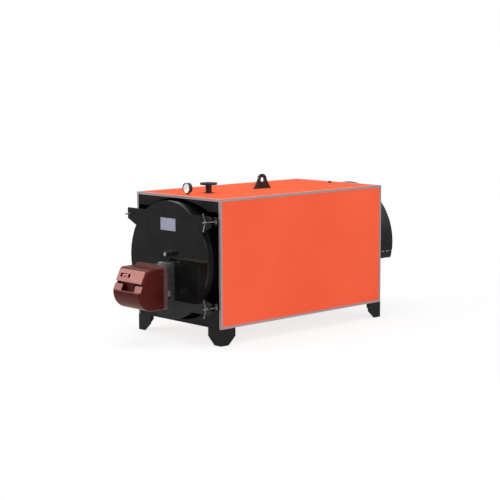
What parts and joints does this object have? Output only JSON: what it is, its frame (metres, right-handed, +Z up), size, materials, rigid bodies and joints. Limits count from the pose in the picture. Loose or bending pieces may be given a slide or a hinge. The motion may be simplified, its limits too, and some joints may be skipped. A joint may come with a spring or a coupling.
{
  "type": "fire-tube boiler",
  "caption": "Horizontal fire-tube boiler on legs, with a panelled casing, a round hinged front door that carries a hooded burner, and a round smoke box at the rear.",
  "frame": {"origin": "on the floor, below the middle of the bounding box", "axes": "+X to the right seen from the burner end, +Y from the burner to the smoke box, +Z up"},
  "size_m": [1.208, 3.142, 1.501],
  "materials": {
    "orange_paint": "gloss",
    "pale_trim": "satin",
    "black_gloss_paint": "gloss",
    "dark_steel": "matt",
    "bright_steel": "satin",
    "burner_paint": "gloss",
    "cast_aluminium": "cast",
    "refractory": "rough",
    "rope_seal": "woven",
    "white_dial": "satin",
    "clear_glass": "clear"
  },
  "bodies": {
    "boiler": {"base_frame": "dark_steel", "bottom_panel": "orange_paint", "closure_forks": "black_gloss_paint", "drum_shell": "dark_steel", "edge_trim_left": "pale_trim", "edge_trim_right": "pale_trim", "edge_trims_across": "pale_trim", "flue_spigot": "bright_steel", "front_lower_plate": "black_gloss_paint", "front_tube_plate": "dark_steel", "front_upper_plate": "black_gloss_paint", "furnace_tube": "dark_steel", "gauge_case": "bright_steel", "gauge_dial": "white_dial", "hinge_forks": "black_gloss_paint", "legs": "black_gloss_paint", "lifting_lug": "black_gloss_paint", "nozzle_collar": "pale_trim", "rear_panel": "orange_paint", "rear_tube_plate": "dark_steel", "side_panel_left": "orange_paint", "side_panel_right": "orange_paint", "smoke_box": "black_gloss_paint", "smoke_box_joint": "rope_seal", "smoke_tubes": "dark_steel", "soot_tray": "black_gloss_paint", "supply_nozzle": "dark_steel", "top_panel": "orange_paint", "top_socket": "dark_steel"},
    "door": {"door_plate": "black_gloss_paint", "door_ring": "black_gloss_paint", "door_lining": "refractory", "door_seal": "rope_seal", "blank_plate": "bright_steel", "sight_tube": "dark_steel", "sight_glass": "clear_glass", "burner_housing": "cast_aluminium", "burner_rim": "burner_paint", "burner_cover": "burner_paint", "blast_tube": "bright_steel", "hinge_bolts": "bright_steel"},
    "swing_bolt_upper": {"swing_bolt_upper": "bright_steel", "handle_nut_upper": "bright_steel"},
    "swing_bolt_lower": {"swing_bolt_lower": "bright_steel", "handle_nut_lower": "bright_steel"}
  },
  "joints": [
    {"name": "door_hinge", "type": "hinge", "parent": "boiler", "child": "door", "pos_m": [-0.56, -0.963, 0.757], "axis": [0, 0, -1], "range_deg": [0, 95]},
    {"name": "upper_bolt_swing", "type": "hinge", "parent": "boiler", "child": "swing_bolt_upper", "pos_m": [0.56, -0.963, 1.154], "axis": [0, 0, 1], "range_deg": [0, 90]},
    {"name": "lower_bolt_swing", "type": "hinge", "parent": "boiler", "child": "swing_bolt_lower", "pos_m": [0.56, -0.963, 0.36], "axis": [0, 0, 1], "range_deg": [0, 90]}
  ]
}
